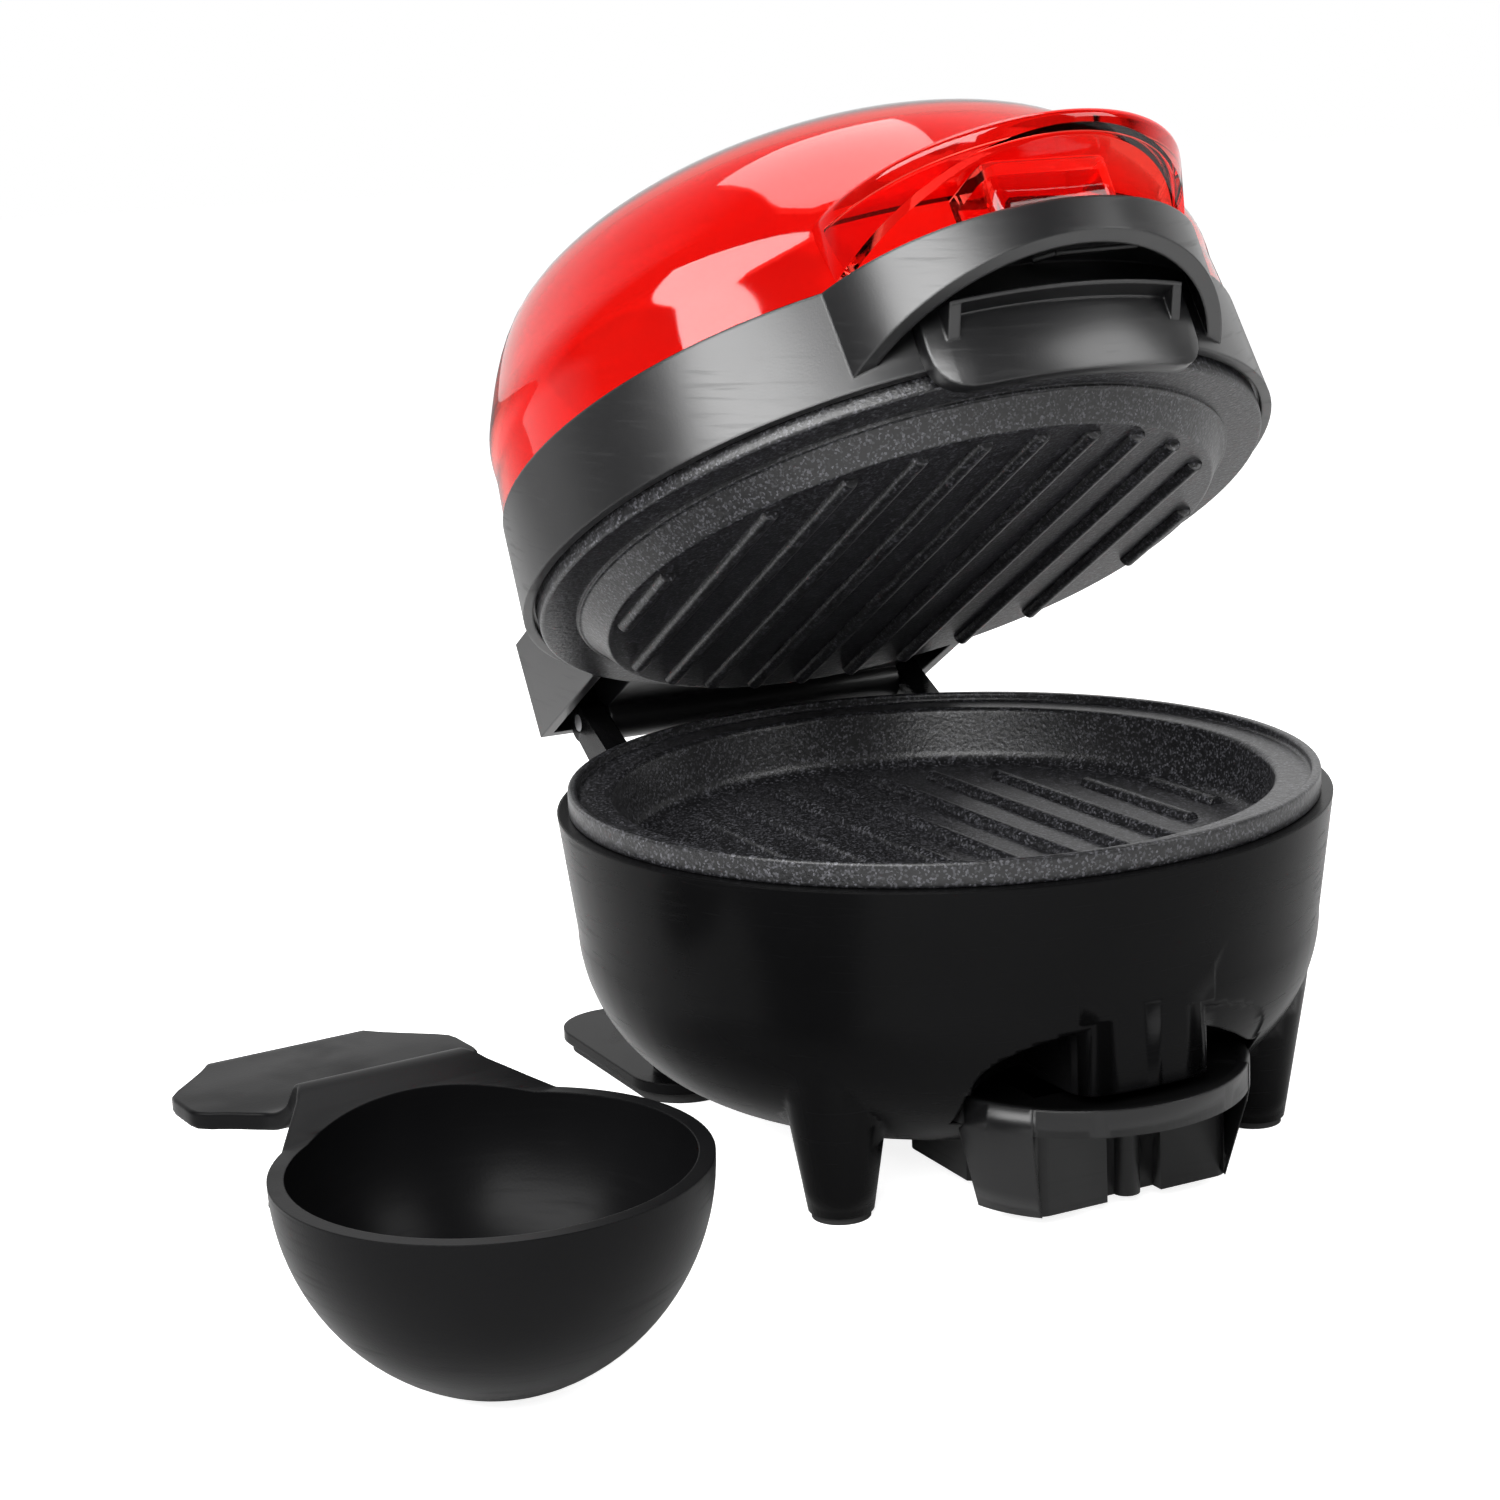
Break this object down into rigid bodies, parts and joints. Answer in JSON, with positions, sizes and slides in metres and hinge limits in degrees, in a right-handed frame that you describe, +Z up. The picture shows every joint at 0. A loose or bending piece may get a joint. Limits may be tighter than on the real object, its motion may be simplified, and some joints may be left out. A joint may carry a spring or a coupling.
{
  "type": "round contact grill",
  "caption": "Round contact grill on legs: ribbed plates that close on a rear hinge, a clear red dome over the lid, a drip tray under the front and a loose cup.",
  "frame": {"origin": "on the axis of the base bowl, at the surface on which the feet stand", "axes": "+Z up, -Y towards the front with its handle and drip tray, +X to the right seen from the front; the lid's hinge axis lies along X at the rear"},
  "size_m": [0.259, 0.2314, 0.2172],
  "materials": {
    "black_shell": "satin moulded plastic",
    "clear_red": "clear gloss tint",
    "coated_plate": "dark release coating on cast metal",
    "bright_sheet": "satin sheet",
    "steel": "plain steel",
    "soft_foot": "matte",
    "terminal_plastic": "moulded",
    "sleeve": "woven sleeve"
  },
  "bodies": {
    "base": {"base_bowl": "black_shell", "tray_dock": "black_shell", "rear_foot_left": "black_shell", "rear_foot_right": "black_shell", "base_bottom_cover": "black_shell", "bottom_cover_screw_1": "steel", "bottom_cover_screw_2": "steel", "bottom_cover_screw_3": "steel", "foot_pad_front_left": "soft_foot", "foot_pad_front_right": "soft_foot", "foot_pad_rear_left": "soft_foot", "foot_pad_rear_right": "soft_foot", "lower_grill_plate": "coated_plate", "lower_heating_element": "steel", "lower_heat_shield": "bright_sheet", "lower_plate_bolt_1": "steel", "lower_plate_bolt_2": "steel", "lower_plate_bolt_3": "steel", "lower_thermostat": "steel", "lower_thermal_fuse": "steel", "terminal_block": "terminal_plastic", "lead_sleeve_left": "sleeve", "lead_sleeve_right": "sleeve", "cord_gland": "soft_foot", "hinge_pin": "steel"},
    "lid": {"lid_ring": "black_shell", "handle_grip": "black_shell", "upper_grill_plate": "coated_plate", "upper_heating_element": "steel", "lid_heat_shield": "bright_sheet", "upper_plate_bolt_1": "steel", "upper_plate_bolt_2": "steel", "upper_plate_bolt_3": "steel", "upper_thermal_cutout": "steel", "lid_screw_1": "steel", "lid_screw_2": "steel", "lid_screw_3": "steel", "warming_deck": "bright_sheet", "cover_hinge_pin": "steel"},
    "cover": {"dome_cover": "clear_red", "dome_visor": "clear_red"},
    "tray": {"drip_tray": "black_shell"},
    "cup": {"grease_cup": "black_shell"}
  },
  "joints": [
    {"name": "lid_hinge", "type": "hinge", "parent": "base", "child": "lid", "pos_m": [0, 0.092, 0.077], "axis": [-1, 0, 0], "range_deg": [-31, 64]},
    {"name": "cover_hinge", "type": "hinge", "parent": "lid", "child": "cover", "pos_m": [0, 0.10351, 0.10392], "axis": [-1, 0, 0], "range_deg": [0, 60]},
    {"name": "drip_tray_slide", "type": "slide", "parent": "base", "child": "tray", "axis": [0, -1, 0], "range_m": [0, 0.045]},
    {"name": "cup_lift", "type": "slide", "parent": "base", "child": "cup", "axis": [0, 0, 1], "range_m": [0, 0.15]}
  ]
}
